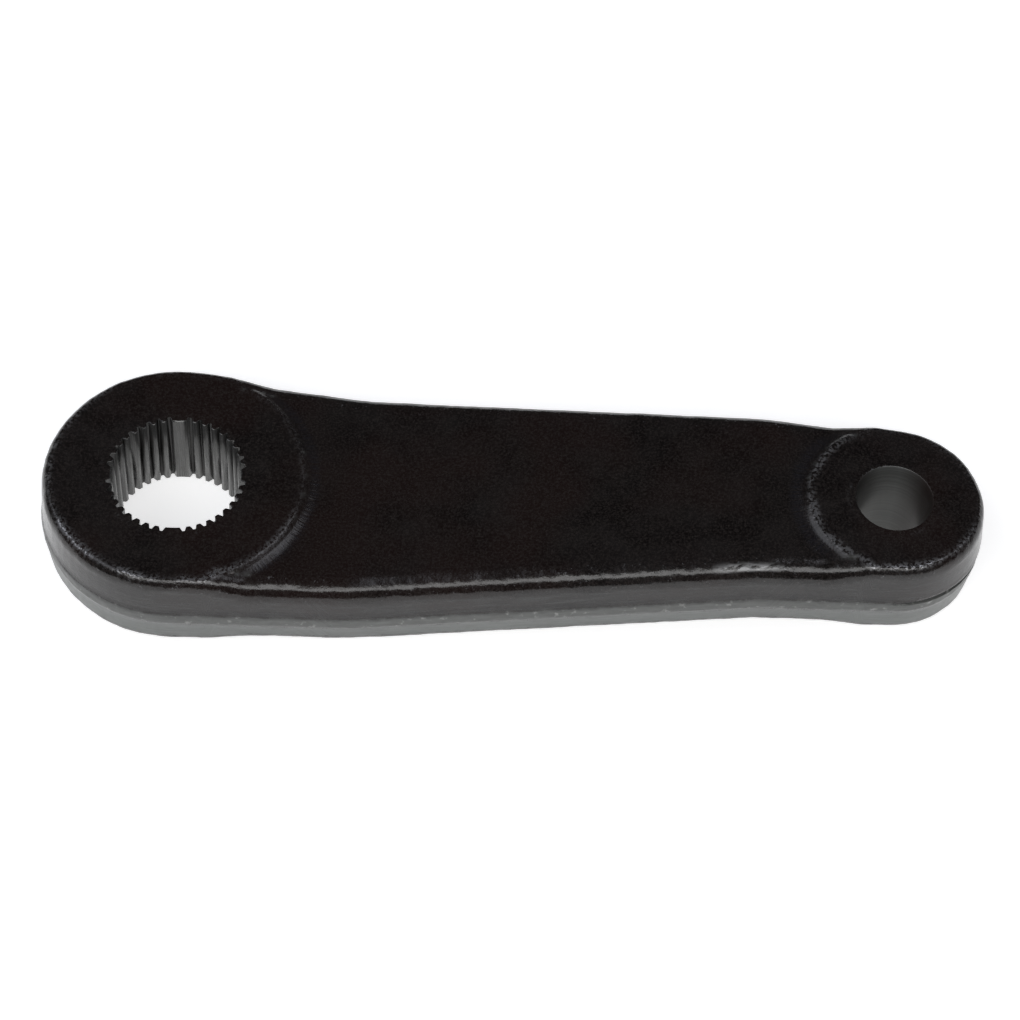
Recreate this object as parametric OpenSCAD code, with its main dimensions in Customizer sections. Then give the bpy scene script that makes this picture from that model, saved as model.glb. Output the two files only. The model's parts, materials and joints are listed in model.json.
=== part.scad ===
// Forged drop arm for a steering gear.
// A splined boss fits the gear's output shaft and a small tapered boss takes a ball stud.
// The web between them steps up once, so the two bosses lie on parallel planes.
// Origin: middle of the splined bore, halfway between the large boss's faces.
// X runs to the small boss, Z is the bore axis, and all sizes are in mm.

/* [Overall] */
// distance between the two bore axes, along X
centre_distance = 162; // [120:1:240]
// height of the small boss above the large one
drop = 13.7; // [1:0.1:24]

/* [Large boss] */
// diameter over the parting line
large_boss_d = 62.6; // [56:0.2:80]
// distance between the machined faces
large_boss_h = 22.4; // [22:0.2:34]
// how far the middle of the step down to the web lies inside the parting line
large_step_in = 0.2; // [0:0.1:2]
// offset of the forged boss from its bore, along X
large_forged_x = -0.1; // [-1.5:0.1:1.5]

/* [Small boss] */
// diameter over the parting line
small_boss_d = 42; // [36:0.2:54]
// distance between the machined faces
small_boss_h = 22.4; // [22:0.2:34]
// how far the middle of the step down to the web lies inside the parting line
small_step_in = 0; // [0:0.1:2]
// offset of the forged boss from its bore, along X
small_forged_x = 0.4; // [-1.5:0.1:1.5]

/* [Web] */
// thickness of the web
web_t = 19.8; // [14:0.2:20]
// distance from the large boss to the lower bend
lower_bend_out = 10.4; // [8:0.1:20]
// distance from the small boss to the upper bend
upper_bend_out = 8.3; // [7:0.1:20]
// radius of both bends, at the middle of the web
bend_r = 40; // [20:1:80]

/* [Forging] */
// draft of the forged walls, in degrees
draft = 3.5; // [2:0.1:7]
// height of the trimmed flash land
flash_h = 3.2; // [1:0.1:5]
// how far the flash land stands out from the walls
flash_proud = 0.3; // [0.1:0.05:1]
// how far the middle of the flash land lies below mid-height
flash_drop = 1.7; // [0:0.1:2]
// how far the upper half laps over the lower one at the small end
end_lap = 0.5; // [0:0.05:1]
// radius of the rounded upper edges along the web
upper_edge_r = 4.4; // [1:0.1:5]
// radius of the rounded upper edges round the bosses
boss_edge_r = 3.2; // [1:0.1:5]
// radius of the rounded lower edges
lower_edge_r = 2.3; // [1:0.1:4]
// stock machined off each boss face, which leaves a crisp rim
face_stock = 0.45; // [0.1:0.05:1.2]
// radius of the rounded top of the step from a boss to the web
step_r = 1.5; // [1:0.1:4]
// radius of the hollow at the foot of that step
blend_r = 7; // [4:0.1:9]

/* [Splined bore] */
// diameter over the tooth tips
spline_tip_d = 29.5; // [24:0.1:36]
// depth of the tooth spaces
spline_depth = 1.25; // [0.8:0.05:2]
// tooth positions round the bore
spline_pitches = 40; // [24:4:48]
// blind positions, equally spaced, that make the arm fit one way in each quarter
spline_masters = 4; // [1, 2, 4]
// turn of the blind positions from the arm's axis, in degrees
spline_turn = 4.5; // [0:0.5:9]
// share of a pitch taken by a tooth space, at the tips
space_share = 0.7; // [0.5:0.01:0.72]
// share of a pitch taken by a tooth space, at its root
root_share = 0.22; // [0.1:0.01:0.4]
// chamfer at both mouths of the splined bore
spline_chamfer = 0.25; // [0.1:0.05:1]

/* [Stud bore] */
// diameter of the tapered bore at the upper face
stud_bore_d = 17.4; // [14:0.1:24]
// fall in diameter for each mm of depth
stud_taper = 0.167; // [0.05:0.001:0.2]
// chamfer at the upper mouth
stud_chamfer = 0.15; // [0.1:0.05:1]

/* [Hidden] */
$fn = 96;
eps = 0.02;
over = 1;
edge_steps = 4;
bend_steps = 5;
arc_steps = 18;
step_steps = 5;
step_slope_max = 75;
spline_tip_r = spline_tip_d / 2;
spline_root_r = spline_tip_r + spline_depth;
spline_pitch = 360 / spline_pitches;
master_every = spline_pitches / spline_masters;
large_r = large_boss_d / 2;
small_r = small_boss_d / 2;
large_x = large_forged_x;
small_x = centre_distance + small_forged_x;
// the sides follow the common tangents of the two bosses
side_angle = asin((large_r - small_r) / (small_x - large_x));
lower_bend_x = large_r + lower_bend_out;
upper_bend_x = centre_distance - small_r - upper_bend_out;
rise_angle = atan(drop / (upper_bend_x - lower_bend_x));
bend_run = bend_r * tan(rise_angle / 2);
bend_start_x = lower_bend_x - bend_run;
bend_end_x = upper_bend_x + bend_run;
// the long edges slope down from each boss to the web over these shares of the boss's radius
large_slope_from = 0.31;
large_slope_to = 0.63;
small_slope_from = 0.23;
small_slope_to = 0.66;
large_slope = [large_x + large_r * large_slope_from, large_x + large_r * large_slope_to];
small_slope = [small_x - small_r * small_slope_to, small_x - small_r * small_slope_from];
flash_top = flash_h / 2 - flash_drop;
flash_bottom = -flash_h / 2 - flash_drop;
blend_sink = 0.03;

function share(x, span) = min(1, max(0, (x - span[0]) / (span[1] - span[0])));

// radius of the tapered bore at a depth below the upper face
function stud_r(depth) = (stud_bore_d - depth * stud_taper) / 2;

// half width of the outline along the straight sides
function side_y(x) = large_r / cos(side_angle) - tan(side_angle) * (x - large_x);

// height of the middle of the web
function mid_z(x) =
    x < bend_start_x ? 0
    : x < bend_start_x + bend_r * sin(rise_angle) ? bend_r - sqrt(pow(bend_r, 2) - pow(x - bend_start_x, 2))
    : x < bend_end_x - bend_r * sin(rise_angle) ? (x - lower_bend_x) * tan(rise_angle)
    : x < bend_end_x ? drop - bend_r + sqrt(pow(bend_r, 2) - pow(bend_end_x - x, 2))
    : drop;

// half the forged thickness: full at each boss, with its stock, and thinner along the web
function half_t(x) =
    web_t / 2
    + (large_boss_h / 2 + face_stock - web_t / 2) * (1 - share(x, large_slope))
    + (small_boss_h / 2 + face_stock - web_t / 2) * share(x, small_slope);

// radius of the rounded upper edge: tighter at each boss than along the web
function upper_r(x) =
    upper_edge_r + (boss_edge_r - upper_edge_r) * (1 - share(x, large_slope) + share(x, small_slope));

// one point of a rounded edge: [outward from the parting line, height]
function edge_point(turn, height, foot, r) =
    let (
        wall_in = flash_proud + (height - foot) * tan(draft),
        tangent = r / tan(45 + draft / 2)
    )
    [-wall_in - tangent + r * sin(turn), height - r + r * cos(turn)];

// how far inside the parting line the flat top begins
function flat_in(height) = -edge_point(0, height, flash_top, upper_edge_r)[0];

// wall of the forging, from its upper rounded edge over the flash land to its lower one
function wall(half, upper, lap) =
    let (turns = [for (i = [0:edge_steps]) i * (90 - draft) / edge_steps])
    concat(
        [for (a = turns) edge_point(a, half, flash_top, upper)],
        [[lap - flash_proud, flash_top + flash_proud], [0, flash_top]],
        [[0, flash_bottom], [-flash_proud, flash_bottom - flash_proud]],
        [for (i = [edge_steps:-1:0])
            let (p = edge_point(turns[i], half, -flash_bottom, lower_edge_r))
            [p[0], -p[1]]]
    );

// places along one straight side where the wall changes
function side_stations() = concat(
    [large_slope[0], large_slope[1]],
    [for (i = [0:bend_steps]) bend_start_x + bend_r * sin(rise_angle * i / bend_steps)],
    [for (i = [bend_steps:-1:0]) bend_end_x - bend_r * sin(rise_angle * i / bend_steps)],
    [small_slope[0], small_slope[1]]
);

// half of the parting outline, from the large end to the small end: [x, y, outward x, outward y]
function half_outline() =
    let (tangent = 90 - side_angle)
    concat(
        [for (i = [0:arc_steps])
            let (a = 180 - (180 - tangent) * i / arc_steps)
            [large_x + large_r * cos(a), large_r * sin(a), cos(a), sin(a)]],
        [for (x = side_stations()) [x, side_y(x), sin(side_angle), cos(side_angle)]],
        [for (i = [0:arc_steps])
            let (a = tangent * (1 - i / arc_steps))
            [small_x + small_r * cos(a), small_r * sin(a), cos(a), sin(a)]]
    );

// skin of the forging, before its faces and bores are machined
module blank() {
    far = half_outline();
    ends = len(far) - 1;
    outline = concat(far, [for (i = [ends - 1:-1:1]) [far[i][0], -far[i][1], far[i][2], -far[i][3]]]);
    n = len(outline);
    rows = len(wall(web_t / 2, upper_edge_r, 0));
    points = [for (s = outline)
        for (p = wall(half_t(s[0]), upper_r(s[0]), s[0] > small_x ? end_lap * s[2] : 0))
            let (x = s[0] + p[0] * s[2])
            [x, s[1] + p[0] * s[3], mid_z(x) + p[1]]];
    sides = [for (i = [0:n - 1], k = [0:rows - 2])
        let (a = i * rows + k, b = (i + 1) % n * rows + k)
        each [[a, b + 1, b], [a, a + 1, b + 1]]];
    // flat strips across the top and the bottom, from each far point to its near partner
    strips = [for (i = [0:ends - 1], top = [true, false])
        let (
            k = top ? 0 : rows - 1,
            a = i * rows + k,
            b = (i + 1) * rows + k,
            c = (n - i - 1) % n * rows + k,
            d = (n - i) % n * rows + k,
            near = i == 0 ? [[a, b, c]] : i == ends - 1 ? [[a, b, d]] : [[a, b, c], [a, c, d]]
        )
        each [for (t = near) top ? t : [t[0], t[2], t[1]]]];
    polyhedron(points, concat(sides, strips));
}

// outline of the step from a boss face down to the web: a rounded top, a slope and a hollow foot
function step_outline(r, step) =
    let (
        round_rs = step_r + blend_r,
        slope = acos(max(1 - step / round_rs, cos(step_slope_max))),
        straight = (step - round_rs * (1 - cos(slope))) / tan(slope),
        width = round_rs * sin(slope) + straight,
        turns = [for (i = [0:step_steps]) slope * i / step_steps]
    )
    concat(
        [for (a = turns) [r - width / 2 + step_r * sin(a), step - step_r * (1 - cos(a))]],
        [for (i = [step_steps:-1:0])
            [r + width / 2 - blend_r * sin(turns[i]), blend_r * (1 - cos(turns[i])) - blend_sink]],
        [[r + width / 2, -over], [0, -over], [0, step]]
    );

// the step on one side of a boss, kept clear of the rounded long edges
module step_down(r, h, x) {
    intersection() {
        translate([x, 0, web_t / 2])
            rotate_extrude()
                polygon(step_outline(r, (h - web_t) / 2));
        linear_extrude(h + 2 * over, center = true)
            web_plan(flat_in(web_t / 2));
    }
}

// plan of the web between the bore axes, with its sides moved in
module web_plan(margin) {
    a = side_y(0) - margin;
    b = side_y(centre_distance) - margin;
    polygon([[0, -a], [centre_distance, -b], [centre_distance, b], [0, a]]);
}

// what is machined off the two faces of a boss
module facing(x, r, h) {
    for (side = [0, 1])
        mirror([0, 0, side])
            translate([x, 0, h / 2])
                cylinder(r = r + over, h = face_stock + over);
}

// steps from both faces of a boss down to the web
module steps(x, r, h) {
    for (side = [0, 1])
        mirror([0, 0, side])
            step_down(r, h, x);
}

module forging() {
    difference() {
        blank();
        facing(large_x, large_r, large_boss_h);
        translate([0, 0, drop])
            facing(small_x, small_r, small_boss_h);
    }
    steps(0, large_r - large_step_in, large_boss_h);
    translate([0, 0, drop])
        steps(centre_distance, small_r - small_step_in, small_boss_h);
}

// bore with triangular tooth spaces, left blind at the master positions
module spline_bore() {
    tip_half = spline_pitch * space_share / 2;
    root_half = spline_pitch * root_share / 2;
    inner_r = spline_tip_r * cos(tip_half) - eps;
    length = large_boss_h + 2 * over;
    linear_extrude(length, center = true) {
        circle(spline_tip_r);
        for (i = [0:spline_pitches - 1])
            if (i % master_every != 0)
                rotate(i * spline_pitch + spline_turn)
                    polygon([
                        [inner_r, -spline_tip_r * sin(tip_half)],
                        [spline_root_r, -spline_root_r * sin(root_half)],
                        [spline_root_r, spline_root_r * sin(root_half)],
                        [inner_r, spline_tip_r * sin(tip_half)]
                    ]);
    }
    for (side = [0, 1])
        mirror([0, 0, side])
            translate([0, 0, large_boss_h / 2 - spline_chamfer])
                cylinder(
                    r1 = spline_tip_r,
                    r2 = spline_tip_r + spline_chamfer + over,
                    h = spline_chamfer + over
                );
}

// tapered bore for the ball stud, wide at the upper face
module stud_bore() {
    top = small_boss_h / 2;
    bottom_r = stud_r(small_boss_h + over);
    chamfer_r = stud_r(stud_chamfer);
    translate([0, 0, -top - over])
        cylinder(r1 = bottom_r, r2 = stud_r(-over), h = small_boss_h + 2 * over);
    translate([0, 0, top - stud_chamfer])
        cylinder(r1 = chamfer_r, r2 = chamfer_r + stud_chamfer + over, h = stud_chamfer + over);
}

module pitman_arm() {
    color("#2a2b2d")
        difference() {
            forging();
            spline_bore();
            translate([centre_distance, 0, drop])
                stud_bore();
        }
}

pitman_arm();
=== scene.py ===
"""Looks of a forged steering arm: its lumpy coated skin, bare bores, floor, light and camera."""

import json
import math

import bmesh
import bpy
import numpy as np
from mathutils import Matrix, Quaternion, Vector, noise
from mathutils.bvhtree import BVHTree


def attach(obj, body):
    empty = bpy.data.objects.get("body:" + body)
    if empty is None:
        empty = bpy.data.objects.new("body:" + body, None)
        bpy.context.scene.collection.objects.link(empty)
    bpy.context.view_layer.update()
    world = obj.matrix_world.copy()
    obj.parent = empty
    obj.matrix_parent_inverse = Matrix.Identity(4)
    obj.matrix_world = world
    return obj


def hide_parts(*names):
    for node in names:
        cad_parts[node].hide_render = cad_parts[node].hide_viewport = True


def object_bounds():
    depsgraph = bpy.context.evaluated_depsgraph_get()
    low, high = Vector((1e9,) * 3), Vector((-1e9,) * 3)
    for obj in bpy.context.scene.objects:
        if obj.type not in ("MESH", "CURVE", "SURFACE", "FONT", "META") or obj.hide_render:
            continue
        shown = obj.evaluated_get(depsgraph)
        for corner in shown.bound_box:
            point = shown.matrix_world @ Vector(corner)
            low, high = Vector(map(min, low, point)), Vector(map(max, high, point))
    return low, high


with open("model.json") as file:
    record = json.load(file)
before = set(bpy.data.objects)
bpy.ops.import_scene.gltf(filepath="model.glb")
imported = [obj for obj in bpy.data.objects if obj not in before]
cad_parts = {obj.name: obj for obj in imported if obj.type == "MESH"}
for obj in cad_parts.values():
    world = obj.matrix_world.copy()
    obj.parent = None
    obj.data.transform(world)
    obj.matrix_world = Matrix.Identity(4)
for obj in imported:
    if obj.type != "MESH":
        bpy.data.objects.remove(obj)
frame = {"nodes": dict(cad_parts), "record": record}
cad_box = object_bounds()

MM = 0.001
NODE = "pitman_arm"
BODY = "root"
arm = frame["nodes"][NODE]
mounts = {m["name"]: m for m in frame["record"]["mounts"]}

# Places taken from the frame
spline_axis = Vector(mounts["spline_bore"]["pos_m"]).xy
stud_axis = Vector(mounts["stud_bore"]["pos_m"]).xy
large_face_z = mounts["shaft_nut_seat"]["pos_m"][2]
face_heights = (
    large_face_z,
    -large_face_z,
    mounts["stud_bore"]["pos_m"][2],
    mounts["stud_nut_seat"]["pos_m"][2],
)

# Each bore, and the large boss: its axis and a radius that holds it
SPLINE = (spline_axis, 17 * MM)
STUD = (stud_axis, 10 * MM)
LARGE_BOSS = (spline_axis, 33 * MM)

# Kinds of CAD faces, told apart by the Z of their normals, and the tolerances of lengths
FLAT = 0.95
UPRIGHT = 0.02
LOWER_DRAFT = 0.2
LEVEL = 0.01 * MM
WELD = 0.001 * MM
BORE_OVER = 1 * MM

# Skin of the forging
VOXEL = 0.62 * MM
SMOOTHING_ROUNDS = 4
SMOOTHING_STEPS = (0.5, -0.53)
SHARP_ANGLE = math.radians(35)

# Masks: rounds of blurring, and how curvature and slope become shares from 0 to 1
EDGE_RADIUS = 4.4 * MM
NEIGHBOURS = 4
KIND_BLUR = 2
BULGE_BLUR = 6
RIM_BLUR = 5
EDGE_GAIN = 1.5
HOLLOW_GAIN = 2
BULGE_START = 0.2
SIDE_START = 1.5
SIDE_GAIN = 4

# Lumps: size of the features and how far they move the skin either way
WAVES = ((11 * MM, 0.04 * MM), (4 * MM, 0.02 * MM))
EDGE_LUMPS = ((6 * MM, 0.12 * MM), (2.2 * MM, 0.07 * MM))
LAND_TEARS = ((1.7 * MM, 0.08 * MM),)
SEED_SHIFT = Vector((7.1, 3.7, 5.3))

# Seam where the upper half laps over the lower one, round the small end, thinning towards both its ends
LAP_SPAN = math.radians(88)
LAP_STEPS = 44
LAP_TAPER = 2.5
LAP_DEPTH = 1.5 * MM
LAP_WIDTH = 1.5 * MM
LAP_DROP = LAP_WIDTH / 4
LAP_THINNEST = 0.2
FAR = 60 * MM

# Scuff with a painted highlight on the near edge at the upper bend: its middle, and the distances where
# it starts and is full
SCUFF_HIGHLIGHT_MIDDLE = Vector((130, -19.5, 23)) * MM
SCUFF_HIGHLIGHT_REACH = (9 * MM, 2.25 * MM)
# Crest of an edge, the band where the painted highlight goes: Z of the skin's normal there, and how far
# the crest reaches either side of it
CREST = (0.84, 0.12)
# Direction round each boss in which its rims wear the most: the side the light falls on, where the steel
# chips also serve as painted highlights
WORN_AND_LIT_SIDE = math.radians(235)

# Camera, from the photograph
CAMERA_AIM = Vector((76.45, -1.64, 10.06)) * MM
CAMERA_DISTANCE = 674.96 * MM
CAMERA_AZIMUTH = math.radians(-0.26)
CAMERA_ELEVATION = math.radians(55.21)
CAMERA_ROLL = math.radians(4.96)
CAMERA_LENS = 104.65
SENSOR = 36

# Colours of the coat
COAT_DARK = (0.0030, 0.0018, 0.0014, 1)
COAT_LIGHT = (0.0110, 0.0092, 0.0085, 1)
COAT_BROWN = (0.0120, 0.0056, 0.0044, 1)
COAT_SPECKS = (0.0275, 0.0226, 0.0206, 1)
# Bluish grey of the brush marks in the hollows, partly a painted bluish sheen
HOLLOW_BRUSH_SHEEN = (0.014, 0.014, 0.018, 1)
COAT_STREAKS = (0.026, 0.026, 0.025, 1)
# Steel of the chips, which also stand in for painted rim highlights
BARE_STEEL_GLINT = (0.33, 0.33, 0.34, 1)
# Light grey of the scuff, a painted highlight on the bend's crest
SCUFF_HIGHLIGHT = (0.46, 0.46, 0.46, 1)
LOWER_WALL = (0.140, 0.149, 0.142, 1)
TORN_LAND = (0.094, 0.099, 0.093, 1)
LAND_FLECKS = (0.28, 0.28, 0.27, 1)

# Noises of the coat: size of the features, detail, and roughness where it isn't the usual one
COAT_NOISES = {
    "fine": (0.55 * MM, 5, 0.7),
    "grain": (1.2 * MM, 3),
    "chips": (0.8 * MM, 3),
    "gaps": (7 * MM, 3),
    "flecks": (1.8 * MM, 4),
    "cloud": (9 * MM, 4),
    "patch": (26 * MM, 2),
    "drawn": (0.6 * MM, 3),
    "brushed": (0.5 * MM, 3),
    "strokes": (0.9 * MM, 3),
}
STREAK_STRETCH = 0.08
BRUSH_RADIUS = 25 * MM
STROKE_TURN = -0.45
STROKE_STRETCH = (0.2, 1, 1)

# Ramps of the coat: value at the start and at the end, and the results there where they aren't 0 and 1
CLOUDED = (0.38, 0.62)
BROWNED = (0.45, 0.65, 0, 0.8)
SPECKED = (0.44, 0.70)
BRUSHED = (0.4, 0.65)
STREAKED = (0.48, 0.66)
STROKED = (0.4, 0.55)
RIM_CHIPPED = (0.45, 0.57)
RIM_GAPPED = (0.40, 0.58, 0.15, 1)
# Rim chips gather on the lit side, as painted highlights
RIM_FACING_LIGHT = (-0.4, 0.5, 0.12, 1)
EDGE_CHIPPED = (0.64, 0.74, 0, 0.4)
LOWER_COVER = (0.3, 0.7, 0.75, 1)
LAND_COVER = (0.3, 0.7, 0.65, 1)
LAND_FLECKED = (0.60, 0.70, 0, 0.7)

# Gloss and bump of the coat: each bump has a noise, the mask that holds it in, and its depth
COAT_SPECULAR = 0.46
COAT_ROUGHNESS = (0.3, 0.7, 0.15, 0.25)
LOWER_DULLER = 0.15
LAND_DULLER = 0.2
COAT_BUMPS = (
    ("fine", None, 0.012 * MM),
    ("grain", None, 0.025 * MM),
    ("chips", "edge", 0.08 * MM),
    ("chips", "rim", 0.08 * MM),
    ("brushed", "hollow", 0.14 * MM),
    ("drawn", "side", 0.02 * MM),
)
COAT_MASKS = ("edge", "rim", "crest", "hollow", "side", "land", "lower")

# Broached steel of the spline, streaked along the teeth, stained, and with painted shade deep in the
# tooth spaces
SPLINE_DARK = (0.085, 0.085, 0.083, 1)
SPLINE_LIGHT = (0.138, 0.138, 0.134, 1)
SPLINE_STAIN = (0.03, 0.024, 0.022, 1)
SPLINE_ROOT_SHADE = (0.016, 0.015, 0.014, 1)
BROACH_STRETCH = (1, 1, 0.04)
BROACH_SIZE = 0.35 * MM
BROACHED = (0.3, 0.7)
STAIN_SIZE = 5 * MM
STAINED = (0.55, 0.8, 0, 0.4)
ROOT_SHADE_DEPTH = (14.9 * MM, 15.8 * MM, 0, 0.9)
SPLINE_METALLIC = 0.6
SPLINE_ROUGHNESS = (0.3, 0.7, 0.22, 0.32)
BROACH_BUMP = 0.003 * MM

# Reamed steel of the stud bore; each side has a start and an end in parts of the reach, and a share
STUD_DARK = (0.088, 0.090, 0.086, 1)
STUD_LIGHT = (0.125, 0.127, 0.122, 1)
STUD_BROWN = (0.024, 0.015, 0.013, 1)
STUD_SIDE_SHADE = (0.016, 0.013, 0.012, 1)
BROWN_SIDE = (0.15, 0.75, 0.88)
SHADED_SIDE = (-0.3, -0.85, 0.85)
RING_SIZE = 0.7 * MM
RING_WAVE = 5 * MM
RING_WOBBLE = 0.4 * MM
RINGED = (0.35, 0.65)
STUD_METALLIC = 0.3
STUD_ROUGHNESS = (0.3, 0.7, 0.28, 0.38)
RING_BUMP = 0.008 * MM

# Softboxes: direction from the arm, width and height, brightness and colour
BOX_DISTANCE = 1.25
SOFTBOXES = {
    "front_box": (Vector((0, -0.656, 0.755)), (1.5, 0.44), 4.0, (1, 1, 1)),
    "left_box": (Vector((-0.62, -0.03, 0.78)), (0.95, 0.8), 1.45, (0.95, 0.98, 1.07)),
    "right_box": (Vector((0.40, 0.15, 0.90)), (0.5, 0.36), 1.9, (0.96, 0.98, 1.06)),
}

# Floor: half its width, how far it reaches to the front and to the back, its surface and its glow
FLOOR_HALF = 0.8
FLOOR_FRONT = -0.17
FLOOR_BACK = 0.9
FLOOR_PATCH = 0.3
FLOOR_TONES = (0, 1, 0.86, 0.90)
FLOOR_ROUGHNESS = 0.9
FLOOR_SPECULAR = 0.1
FLOOR_GLOW = 0.65
GLOW_COLOUR = (1, 1, 1, 1)
# Rounds that settle the plane that the arm rests on
REST_ROUNDS = 20

# Room, as reflections meet it and as the camera sees it
ROOM_DARK = (0.05, 0.05, 0.055, 1)
ROOM_PALE = (0.93, 0.93, 0.93, 1)


# Mesh helpers

def welded(obj):
    """A copy of a CAD node's mesh with the seams between its faces closed."""
    bm = bmesh.new()
    bm.from_mesh(obj.data)
    bmesh.ops.remove_doubles(bm, verts=bm.verts, dist=WELD)
    bm.normal_update()
    return bm


def at_a_face(f):
    """Whether a face lies level with one of the machined faces."""
    height = f.calc_center_median().z
    return abs(f.normal.z) > FLAT and any(abs(height - h) < LEVEL for h in face_heights)


def bore_faces(bm, bore):
    """Walls and chamfers of one bore, without the flat faces round its mouths."""
    axis, reach = bore
    near = [f for f in bm.faces if (f.calc_center_median().xy - axis).length < reach]
    return [f for f in near if not at_a_face(f)]


def close_holes(bm):
    """Caps each level rim and turns all the faces outwards."""
    rims = [e for e in bm.edges if e.is_boundary]
    for height in {round(e.verts[0].co.z, 6) for e in rims}:
        level = [e for e in rims if abs(e.verts[0].co.z - height) < LEVEL]
        bmesh.ops.triangle_fill(bm, edges=level, normal=(0, 0, 1))
    bmesh.ops.recalc_face_normals(bm, faces=bm.faces)


def new_object(name, bm):
    """Links a new object with the bmesh as its mesh."""
    mesh = bpy.data.meshes.new(name)
    bm.to_mesh(mesh)
    bm.free()
    obj = bpy.data.objects.new(name, mesh)
    bpy.context.scene.collection.objects.link(obj)
    return obj


def apply_modifiers(obj):
    """Replaces an object's mesh by what its modifiers make of it."""
    depsgraph = bpy.context.evaluated_depsgraph_get()
    made = bpy.data.meshes.new_from_object(obj.evaluated_get(depsgraph))
    obj.modifiers.clear()
    obj.data = made


def points_of(mesh):
    """Positions and normals of a mesh's vertices, and its edges, as arrays."""
    count = len(mesh.vertices)
    places = np.empty(count * 3)
    mesh.vertices.foreach_get("co", places)
    normals = np.empty(count * 3)
    mesh.vertex_normals.foreach_get("vector", normals)
    edges = np.empty(len(mesh.edges) * 2, dtype=np.int64)
    mesh.edges.foreach_get("vertices", edges)
    return places.reshape(-1, 3), normals.reshape(-1, 3), edges.reshape(-1, 2)


def neighbour_mean(values, edges):
    """Mean of each vertex's neighbours, for one number or one vector a vertex."""
    count = len(values)
    ends = np.concatenate([edges[:, 0], edges[:, 1]])
    others = np.concatenate([edges[:, 1], edges[:, 0]])
    shares = np.maximum(np.bincount(ends, minlength=count), 1)
    columns = values.reshape(count, -1)
    sums = [np.bincount(ends, weights=c[others], minlength=count) for c in columns.T]
    return (np.array(sums) / shares).T.reshape(values.shape)


def blurred(values, edges, rounds):
    """Values evened out over the mesh."""
    for _ in range(rounds):
        values = (values + neighbour_mean(values, edges)) / 2
    return values


def lumps(places, layers, seed):
    """Sum of smooth noises, each a pair of feature size and depth either way."""
    shift = SEED_SHIFT * seed
    moved = np.zeros(len(places))
    for size, depth in layers:
        moved += depth * np.array([noise.noise(Vector(p) / size + shift) for p in places])
    return moved


# What the CAD surface is

class Surface:
    """Search tree of the CAD faces, the kind of each face, and the line of the flash land along X."""

    def __init__(self):
        bm = welded(arm)
        self.tree = BVHTree.FromBMesh(bm)
        bores = set(bore_faces(bm, SPLINE)) | set(bore_faces(bm, STUD))
        forged = [f not in bores for f in bm.faces]
        slopes = [f.normal.z for f in bm.faces]
        self.kinds = {
            "machined": np.array([float(at_a_face(f)) for f in bm.faces]),
            "land": np.array([float(w and abs(z) < UPRIGHT) for w, z in zip(forged, slopes)]),
            "lower": np.array([float(w and -LOWER_DRAFT < z < -UPRIGHT) for w, z in zip(forged, slopes)]),
        }
        land = [f for f, upright in zip(bm.faces, self.kinds["land"]) if upright]
        self.land_x, self.land_z = upper_rim(land)
        bm.free()

    def land_height(self, x):
        """Height of the land's upper rim."""
        return np.interp(x, self.land_x, self.land_z)

    def wall_at(self, turn, height):
        """Point of the small end's wall in one direction from the stud bore, and that direction."""
        out = Vector((math.cos(turn), math.sin(turn), 0))
        start = stud_axis.to_3d() + Vector((0, 0, height)) + out * FAR
        return self.tree.ray_cast(start, -out)[0], out


def upper_rim(faces):
    """Height at each X of the rim where a band of faces meets the upper wall, as two arrays."""
    tops = {}
    for f in faces:
        for v in f.verts:
            if any(g.normal.z > UPRIGHT for g in v.link_faces):
                tops[round(v.co.x, 4)] = v.co.z
    order = sorted(tops)
    return np.array(order), np.array([tops[x] for x in order])


# Skin

def filled_body():
    """The CAD node with both bores closed level with their faces."""
    bm = welded(arm)
    for bore in (SPLINE, STUD):
        bmesh.ops.delete(bm, geom=bore_faces(bm, bore), context="FACES")
    close_holes(bm)
    return new_object("forged_skin", bm)


def bore_void(name, bore):
    """The hollow of one bore as a solid that reaches past both faces."""
    bm = welded(arm)
    walls = set(bore_faces(bm, bore))
    bmesh.ops.delete(bm, geom=[f for f in bm.faces if f not in walls], context="FACES")
    middle = sum(v.co.z for v in bm.verts) / len(bm.verts)
    rims = [e for e in bm.edges if e.is_boundary]
    grown = bmesh.ops.extrude_edge_only(bm, edges=rims)["geom"]
    for v in grown:
        if isinstance(v, bmesh.types.BMVert):
            v.co.z += BORE_OVER if v.co.z > middle else -BORE_OVER
    close_holes(bm)
    return new_object(name, bm)


def lap_corners(surface, turn, height):
    """Four corners of the seam's section in one direction from the stud bore."""
    wall, out = surface.wall_at(turn, height)
    fade = min(1, (1 - abs(turn) / LAP_SPAN) * LAP_TAPER)
    inner = wall - out * LAP_DEPTH * fade
    outer = wall + out * LAP_DEPTH
    half = Vector((0, 0, LAP_WIDTH / 2 * (LAP_THINNEST + (1 - LAP_THINNEST) * fade)))
    return inner - half, inner + half, outer + half, outer - half


def lap_void(surface):
    """Thin hollow under the lap of the upper half, fading out at both ends."""
    height = surface.land_height(cad_box[1][0]) - LAP_DROP
    bm = bmesh.new()
    rings = []
    for i in range(LAP_STEPS + 1):
        turn = LAP_SPAN * (2 * i / LAP_STEPS - 1)
        rings.append([bm.verts.new(p) for p in lap_corners(surface, turn, height)])
    for a, b in zip(rings, rings[1:]):
        for k in range(len(a)):
            bm.faces.new((a[k], a[k - 1], b[k - 1], b[k]))
    bm.faces.new(rings[0])
    bm.faces.new(rings[-1])
    bmesh.ops.recalc_face_normals(bm, faces=bm.faces)
    return new_object("lap_void", bm)


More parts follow.
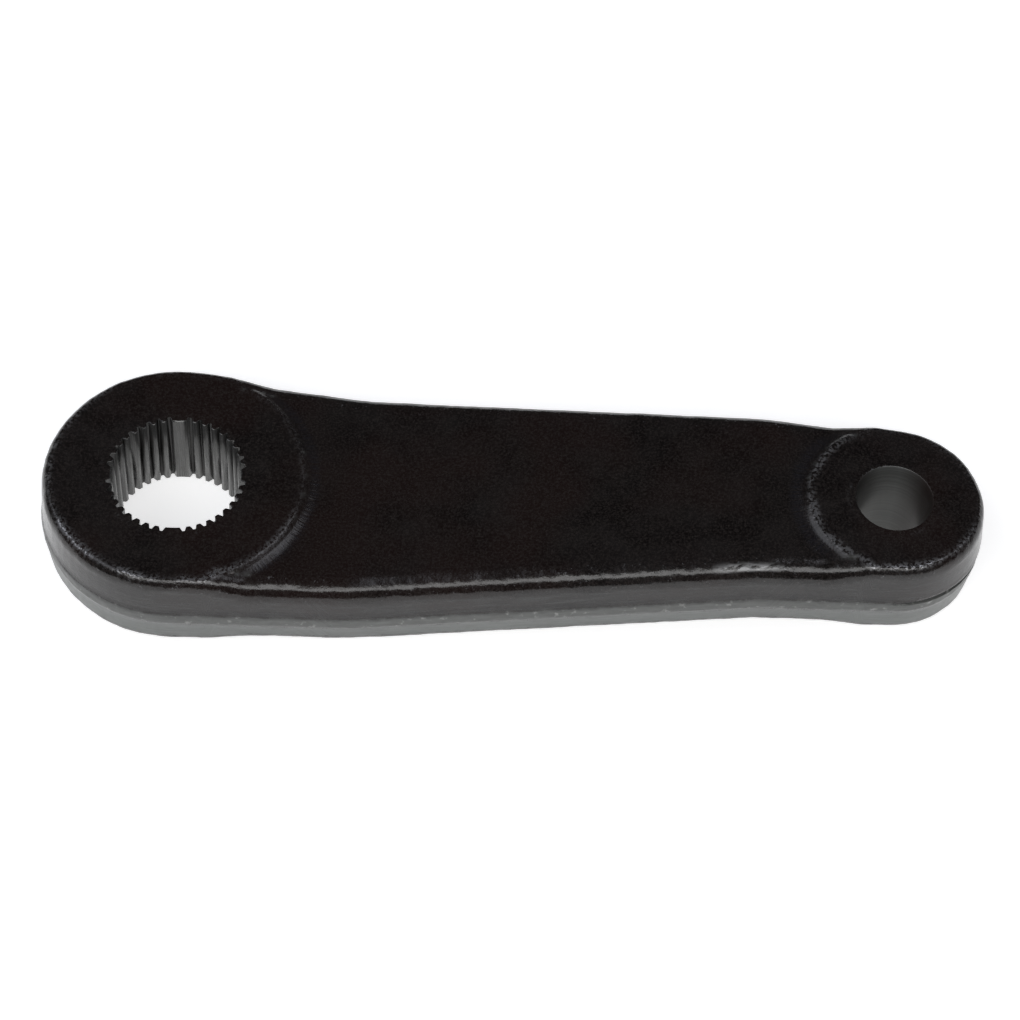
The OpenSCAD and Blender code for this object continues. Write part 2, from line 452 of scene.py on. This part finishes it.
def masks(mesh, surface):
    """For each vertex, how much of each kind of surface it is, and how high it lies above the land."""
    places, normals, edges = points_of(mesh)
    nearest = np.array([surface.tree.find_nearest(Vector(p))[2] for p in places])
    found = {name: blurred(flags[nearest], edges, KIND_BLUR) for name, flags in surface.kinds.items()}
    bulge = np.einsum("ij,ij->i", places - neighbour_mean(places, edges), normals)
    bulge = blurred(bulge, edges, BULGE_BLUR) * NEIGHBOURS * EDGE_RADIUS / VOXEL ** 2
    found["edge"] = np.clip(bulge * EDGE_GAIN - BULGE_START, 0, 1) * (1 - found["machined"])
    found["rim"] = rims_of(places, surface.kinds["machined"][nearest], edges)
    found["crest"] = np.clip(1 - np.abs(normals[:, 2] - CREST[0]) / CREST[1], 0, 1)
    found["hollow"] = np.clip(-bulge * HOLLOW_GAIN - BULGE_START, 0, 1)
    found["side"] = np.clip(SIDE_START - SIDE_GAIN * np.abs(normals[:, 2]), 0, 1)
    found["level"] = places[:, 2] - surface.land_height(places[:, 0])
    return found


def rims_of(places, machined, edges):
    """A band along the outer rims of the machined faces, clear of the bores' mouths."""
    spread = blurred(machined, edges, RIM_BLUR)
    rim = np.clip(4 * spread * (1 - spread), 0, 1)
    for axis, reach in (SPLINE, STUD):
        rim[np.hypot(*(places[:, :2] - axis).T) < reach] = 0
    return rim


def smooth(mesh):
    """Takes the steps of the remeshing out without shrinking the skin."""
    places, _, edges = points_of(mesh)
    for _ in range(SMOOTHING_ROUNDS):
        for step in SMOOTHING_STEPS:
            places += step * (neighbour_mean(places, edges) - places)
    mesh.vertices.foreach_set("co", places.ravel())
    mesh.update()


def held_in(places):
    """Places held inside the CAD box and between the large boss's faces."""
    held = np.clip(places, *cad_box)
    axis, reach = LARGE_BOSS
    boss = np.hypot(*(held[:, :2] - axis).T) < reach
    held[boss, 2] = np.clip(held[boss, 2], -large_face_z, large_face_z)
    return held


def roughen(mesh, found):
    """Moves the skin by the waves of the forging, lumps on its edges and tears on its trimmed land."""
    places, normals, _ = points_of(mesh)
    forged = 1 - found["machined"]
    move = lumps(places, WAVES, seed=0) * forged
    move += lumps(places, EDGE_LUMPS, seed=10) * found["edge"] * forged
    move += lumps(places, LAND_TEARS, seed=20) * found["land"]
    mesh.vertices.foreach_set("co", held_in(places + normals * move[:, None]).ravel())
    mesh.update()


def cut(obj, void):
    """Cuts a void out of an object and deletes the void."""
    modifier = obj.modifiers.new("cut", "BOOLEAN")
    modifier.operation = "DIFFERENCE"
    modifier.solver = "EXACT"
    modifier.object = void
    apply_modifiers(obj)
    bpy.data.objects.remove(void)


def assign_materials(mesh, materials):
    """Gives the walls of each bore their own material and the rest the coat."""
    for material in materials.values():
        mesh.materials.append(material)
    slots = list(materials)
    for p in mesh.polygons:
        slot = "coat"
        for name, (axis, reach) in (("spline", SPLINE), ("stud", STUD)):
            if (p.center.xy - axis).length < reach and abs(p.normal.z) < FLAT:
                slot = name
        p.material_index = slots.index(slot)


def make_skin(materials):
    """The whole arm as one closed mesh."""
    skin = filled_body()
    modifier = skin.modifiers.new("even", "REMESH")
    modifier.mode = "VOXEL"
    modifier.voxel_size = VOXEL
    apply_modifiers(skin)
    smooth(skin.data)
    surface = Surface()
    roughen(skin.data, masks(skin.data, surface))
    cut(skin, bore_void("spline_void", SPLINE))
    cut(skin, bore_void("stud_void", STUD))
    cut(skin, lap_void(surface))
    for name, values in masks(skin.data, surface).items():
        attribute = skin.data.attributes.new(name, "FLOAT", "POINT")
        attribute.data.foreach_set("value", values)
    skin.data.shade_smooth()
    skin.data.set_sharp_from_angle(angle=SHARP_ANGLE)
    assign_materials(skin.data, materials)
    return skin


# Shader helpers

def add(tree, kind, inputs, **settings):
    """Adds a shader node. An input that is a socket is linked, and any other value is set."""
    made = tree.nodes.new("ShaderNode" + kind)
    for name, value in settings.items():
        setattr(made, name, value)
    for name, value in inputs.items():
        if isinstance(value, bpy.types.NodeSocket):
            tree.links.new(value, made.inputs[name])
        else:
            made.inputs[name].default_value = value
    return made


def noise_of(tree, place, size, detail, rough=0.55):
    """Noise from 0 to 1 with features of the given size in metres."""
    inputs = {"Vector": place, "Scale": 1 / size, "Detail": detail, "Roughness": rough}
    return add(tree, "TexNoise", inputs).outputs["Fac"]


def ramp(tree, value, low, high, to_low=0.0, to_high=1.0):
    """Stretches the part of a value between low and high."""
    inputs = {"Value": value, "From Min": low, "From Max": high, "To Min": to_low, "To Max": to_high}
    return add(tree, "MapRange", inputs).outputs["Result"]


def calc(tree, operation, a, b=0.0):
    """One sum of one or two values."""
    return add(tree, "Math", {0: a, 1: b}, operation=operation).outputs[0]


def product(tree, a, b):
    """a times b."""
    return calc(tree, "MULTIPLY", a, b)


def total(tree, a, b):
    """a plus b."""
    return calc(tree, "ADD", a, b)


def mixed(tree, share, a, b):
    """Colour a, or b where share is 1."""
    return add(tree, "Mix", {0: share, 6: a, 7: b}, data_type="RGBA").outputs[2]


def mask(tree, name):
    """One of the skin's masks."""
    return add(tree, "Attribute", {}, attribute_name=name).outputs["Fac"]


def parts_of(tree, place):
    """X, Y and Z of a position."""
    split = add(tree, "SeparateXYZ", {"Vector": place}).outputs
    return split["X"], split["Y"], split["Z"]


def joined(tree, x, y, z):
    """Position with the given X, Y and Z."""
    return add(tree, "CombineXYZ", {"X": x, "Y": y, "Z": z}).outputs["Vector"]


def stretched(tree, place, scale):
    """Position scaled along each axis."""
    return add(tree, "Mapping", {"Vector": place, "Scale": scale}).outputs["Vector"]


def new_material(name):
    """A material with its node tree, its shader and its object coordinates."""
    material = bpy.data.materials.new(name)
    material.use_nodes = True
    tree = material.node_tree
    shader = tree.nodes["Principled BSDF"]
    place = add(tree, "TexCoord", {}).outputs["Object"]
    return material, tree, shader, place


def finish_material(tree, shader, colour, roughness, heights):
    """Links colour, roughness and a bump made of (height, depth in metres) pairs."""
    tree.links.new(colour, shader.inputs["Base Color"])
    tree.links.new(roughness, shader.inputs["Roughness"])
    normal = None
    for height, depth in heights:
        inputs = {"Height": height, "Distance": depth, "Strength": 1.0}
        if normal is not None:
            inputs["Normal"] = normal
        normal = add(tree, "Bump", inputs).outputs["Normal"]
    tree.links.new(normal, shader.inputs["Normal"])


# Coat

def along_the_walls(tree, place):
    """Position drawn out along the walls, so that noise becomes streaks that follow the land."""
    x, y, _ = parts_of(tree, place)
    along_x = product(tree, x, STREAK_STRETCH)
    along_y = product(tree, y, STREAK_STRETCH)
    return joined(tree, along_x, along_y, mask(tree, "level"))


def across_the_crest(tree, place):
    """Position turned and drawn out, so that noise becomes slanting strokes."""
    turned = add(tree, "VectorRotate", {"Vector": place, "Angle": STROKE_TURN}, rotation_type="Z_AXIS")
    return stretched(tree, turned.outputs["Vector"], STROKE_STRETCH)


def turn_round_boss(tree, place):
    """Angle round the nearer bore."""
    x, y, _ = parts_of(tree, place)
    nearer_stud = calc(tree, "GREATER_THAN", x, stud_axis.x / 2)
    from_axis = calc(tree, "SUBTRACT", x, product(tree, nearer_stud, stud_axis.x))
    return calc(tree, "ARCTAN2", y, from_axis)


def coat_noises(tree, place, turn):
    """The noises that the coat's colour, roughness and bump share."""
    drawn_out = {
        "drawn": along_the_walls(tree, place),
        "brushed": joined(tree, product(tree, turn, BRUSH_RADIUS), 0, 0),
        "strokes": across_the_crest(tree, place),
    }
    return {name: noise_of(tree, drawn_out.get(name, place), *n) for name, n in COAT_NOISES.items()}


def scuff_and_highlight(tree, place, kinds, noises):
    """The scuff on the crest, light grey as a painted highlight: strokes across the edge, thinning out
    from its middle.
    """
    distance = add(tree, "VectorMath", {0: place, 1: SCUFF_HIGHLIGHT_MIDDLE}, operation="DISTANCE").outputs["Value"]
    near = product(tree, kinds["crest"], ramp(tree, distance, *SCUFF_HIGHLIGHT_REACH))
    return product(tree, near, ramp(tree, noises["strokes"], *STROKED))


def worn_and_glinting(tree, turn, kinds, noises):
    """Chips of uncoated steel, partly wear and partly painted rim highlights: along the rims, most on the
    side that the light falls on, and fewer along the edges.
    """
    facing = calc(tree, "COSINE", calc(tree, "SUBTRACT", turn, WORN_AND_LIT_SIDE))
    rim = product(tree, kinds["rim"], ramp(tree, noises["chips"], *RIM_CHIPPED))
    rim = product(tree, rim, ramp(tree, noises["gaps"], *RIM_GAPPED))
    rim = product(tree, rim, ramp(tree, facing, *RIM_FACING_LIGHT))
    edge = product(tree, kinds["edge"], ramp(tree, noises["chips"], *EDGE_CHIPPED))
    return calc(tree, "MAXIMUM", rim, edge)


def coat_colour(tree, place, bare_and_glint, kinds, noises):
    """Warm black with grey specks, chipped on the edges with chips that also paint rim highlights,
    painted bluish sheen in the brushed hollows, a painted highlight on the scuff at the crest, and grey
    on the lower walls and the land.
    """
    colour = mixed(tree, ramp(tree, noises["cloud"], *CLOUDED), COAT_DARK, COAT_LIGHT)
    colour = mixed(tree, ramp(tree, noises["patch"], *BROWNED), colour, COAT_BROWN)
    colour = mixed(tree, ramp(tree, noises["fine"], *SPECKED), colour, COAT_SPECKS)
    # Brush marks in the hollows, tinted as a painted bluish sheen
    brushed = product(tree, kinds["hollow"], ramp(tree, noises["brushed"], *BRUSHED))
    colour = mixed(tree, brushed, colour, HOLLOW_BRUSH_SHEEN)
    streaks = product(tree, kinds["side"], ramp(tree, noises["drawn"], *STREAKED))
    colour = mixed(tree, streaks, colour, COAT_STREAKS)
    # Steel chips: wear, and painted highlights on the lit side of the rims
    colour = mixed(tree, bare_and_glint, colour, BARE_STEEL_GLINT)
    # Painted highlight on the bend's crest, streaked like a scuff
    colour = mixed(tree, scuff_and_highlight(tree, place, kinds, noises), colour, SCUFF_HIGHLIGHT)
    # Lighter grey over the lower walls
    lower_grey = product(tree, kinds["lower"], ramp(tree, noises["drawn"], *LOWER_COVER))
    colour = mixed(tree, lower_grey, colour, LOWER_WALL)
    torn = product(tree, kinds["land"], ramp(tree, noises["drawn"], *LAND_COVER))
    colour = mixed(tree, torn, colour, TORN_LAND)
    flecks = product(tree, kinds["land"], ramp(tree, noises["flecks"], *LAND_FLECKED))
    return mixed(tree, flecks, colour, LAND_FLECKS)


def coat_roughness(tree, kinds, noises):
    """Glossier on top and duller on the lower walls and the land."""
    roughness = ramp(tree, noises["grain"], *COAT_ROUGHNESS)
    roughness = total(tree, roughness, product(tree, kinds["lower"], LOWER_DULLER))
    return total(tree, roughness, product(tree, kinds["land"], LAND_DULLER))


def coat_heights(tree, kinds, noises):
    """Grain everywhere, chips on the edges, brush marks in the hollows and streaks on the walls."""
    heights = []
    for name, place, depth in COAT_BUMPS:
        height = product(tree, kinds[place], noises[name]) if place else noises[name]
        heights.append((height, depth))
    return heights


def coat_material():
    """Black coat over a forged skin."""
    material, tree, shader, place = new_material("black_coat")
    kinds = {name: mask(tree, name) for name in COAT_MASKS}
    turn = turn_round_boss(tree, place)
    noises = coat_noises(tree, place, turn)
    bare_and_glint = worn_and_glinting(tree, turn, kinds, noises)
    tree.links.new(bare_and_glint, shader.inputs["Metallic"])
    shader.inputs["Specular IOR Level"].default_value = COAT_SPECULAR
    colour = coat_colour(tree, place, bare_and_glint, kinds, noises)
    roughness = coat_roughness(tree, kinds, noises)
    finish_material(tree, shader, colour, roughness, coat_heights(tree, kinds, noises))
    return material


# Bare steel of the bores

def spline_material():
    """Broached steel, streaked along the teeth."""
    material, tree, shader, place = new_material("broached_steel")
    streak = noise_of(tree, stretched(tree, place, BROACH_STRETCH), BROACH_SIZE, detail=3)
    stain = noise_of(tree, place, STAIN_SIZE, detail=3)
    colour = mixed(tree, ramp(tree, streak, *BROACHED), SPLINE_DARK, SPLINE_LIGHT)
    colour = mixed(tree, ramp(tree, stain, *STAINED), colour, SPLINE_STAIN)
    x, y, _ = parts_of(tree, place)
    out = add(tree, "VectorMath", {0: joined(tree, x, y, 0)}, operation="LENGTH").outputs["Value"]
    # Painted shade deep in the tooth spaces, darker towards the roots
    colour = mixed(tree, ramp(tree, out, *ROOT_SHADE_DEPTH), colour, SPLINE_ROOT_SHADE)
    shader.inputs["Metallic"].default_value = SPLINE_METALLIC
    roughness = ramp(tree, streak, *SPLINE_ROUGHNESS)
    finish_material(tree, shader, colour, roughness, [(streak, BROACH_BUMP)])
    return material


def stud_side(tree, x, start, end, share):
    """How much a place belongs to one side of the stud bore."""
    axis, reach = STUD
    return ramp(tree, x, axis.x + start * reach, axis.x + end * reach, 0, share)


def stud_material():
    """Reamed steel with fine rings, with painted shade on one side and brown on the other."""
    material, tree, shader, place = new_material("reamed_steel")
    x, _, height = parts_of(tree, place)
    wobble = product(tree, noise_of(tree, place, RING_WAVE, detail=2), RING_WOBBLE)
    ring = noise_of(tree, joined(tree, 0, 0, total(tree, height, wobble)), RING_SIZE, detail=2)
    colour = mixed(tree, ramp(tree, ring, *RINGED), STUD_DARK, STUD_LIGHT)
    colour = mixed(tree, stud_side(tree, x, *BROWN_SIDE), colour, STUD_BROWN)
    # Painted shade on the bore's side towards -X
    colour = mixed(tree, stud_side(tree, x, *SHADED_SIDE), colour, STUD_SIDE_SHADE)
    shader.inputs["Metallic"].default_value = STUD_METALLIC
    roughness = ramp(tree, ring, *STUD_ROUGHNESS)
    finish_material(tree, shader, colour, roughness, [(ring, RING_BUMP)])
    return material


# Stage

def rest_plane():
    """Slope along X and height at X = 0 of the plane that the arm rests on under its own weight."""
    places, _, _ = points_of(arm.data)
    balance = places[:, 0].mean()
    profile = places[:, (0, 2)]
    left = profile[profile[:, 0] < balance]
    right = profile[profile[:, 0] >= balance]
    slope = 0.0
    for _ in range(REST_ROUNDS):
        a = left[np.argmin(left[:, 1] - slope * left[:, 0])]
        b = right[np.argmin(right[:, 1] - slope * right[:, 0])]
        slope = (b[1] - a[1]) / (b[0] - a[0])
    return slope, a[1] - slope * a[0]


def floor_material():
    """Matt white board that glows a little, so that shadows stay faint."""
    material, tree, shader, place = new_material("white_board")
    tone = ramp(tree, noise_of(tree, place, FLOOR_PATCH, detail=2), *FLOOR_TONES)
    colour = add(tree, "CombineColor", {"Red": tone, "Green": tone, "Blue": tone}).outputs["Color"]
    tree.links.new(colour, shader.inputs["Base Color"])
    shader.inputs["Roughness"].default_value = FLOOR_ROUGHNESS
    shader.inputs["Specular IOR Level"].default_value = FLOOR_SPECULAR
    shader.inputs["Emission Color"].default_value = GLOW_COLOUR
    shader.inputs["Emission Strength"].default_value = FLOOR_GLOW
    return material


def make_floor():
    """Pale floor on the plane that the arm rests on, ending just in front of the picture."""
    slope, height = rest_plane()
    left, right = CAMERA_AIM.x - FLOOR_HALF, CAMERA_AIM.x + FLOOR_HALF
    corners = ((left, FLOOR_FRONT), (right, FLOOR_FRONT), (right, FLOOR_BACK), (left, FLOOR_BACK))
    bm = bmesh.new()
    bm.faces.new([bm.verts.new((x, y, height + slope * x)) for x, y in corners])
    floor = new_object("floor", bm)
    floor.data.materials.append(floor_material())


def make_softbox(name, direction, size, brightness, colour):
    """An area light that faces the arm."""
    data = bpy.data.lights.new(name, "AREA")
    data.shape = "RECTANGLE"
    data.size, data.size_y = size
    data.energy = brightness * math.pi * size[0] * size[1]
    data.color = colour
    lamp = bpy.data.objects.new(name, data)
    lamp.location = CAMERA_AIM + direction.normalized() * BOX_DISTANCE
    lamp.rotation_euler = (-direction).to_track_quat("-Z", "Y").to_euler()
    bpy.context.scene.collection.objects.link(lamp)


def make_room():
    """A dark room that looks pale to the camera."""
    world = bpy.data.worlds.new("room")
    bpy.context.scene.world = world
    world.use_nodes = True
    tree = world.node_tree
    seen = add(tree, "LightPath", {}).outputs["Is Camera Ray"]
    colour = mixed(tree, seen, ROOM_DARK, ROOM_PALE)
    tree.links.new(colour, tree.nodes["Background"].inputs["Color"])


def make_camera():
    """Camera at the photograph's viewing angle."""
    data = bpy.data.cameras.new("camera")
    data.lens = CAMERA_LENS
    data.sensor_width = SENSOR
    camera = bpy.data.objects.new("camera", data)
    bpy.context.scene.collection.objects.link(camera)
    level = math.cos(CAMERA_ELEVATION)
    back = Vector((
        math.sin(CAMERA_AZIMUTH) * level,
        -math.cos(CAMERA_AZIMUTH) * level,
        math.sin(CAMERA_ELEVATION),
    ))
    camera.location = CAMERA_AIM + back * CAMERA_DISTANCE
    camera.rotation_mode = "QUATERNION"
    camera.rotation_quaternion = (-back).to_track_quat("-Z", "Y") @ Quaternion((0, 0, 1), CAMERA_ROLL)
    bpy.context.scene.camera = camera


skin = make_skin({"coat": coat_material(), "spline": spline_material(), "stud": stud_material()})
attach(skin, BODY)
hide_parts(NODE)
make_floor()
make_room()
for name, settings in SOFTBOXES.items():
    make_softbox(name, *settings)
make_camera()
bpy.context.scene.view_settings.view_transform = "Standard"
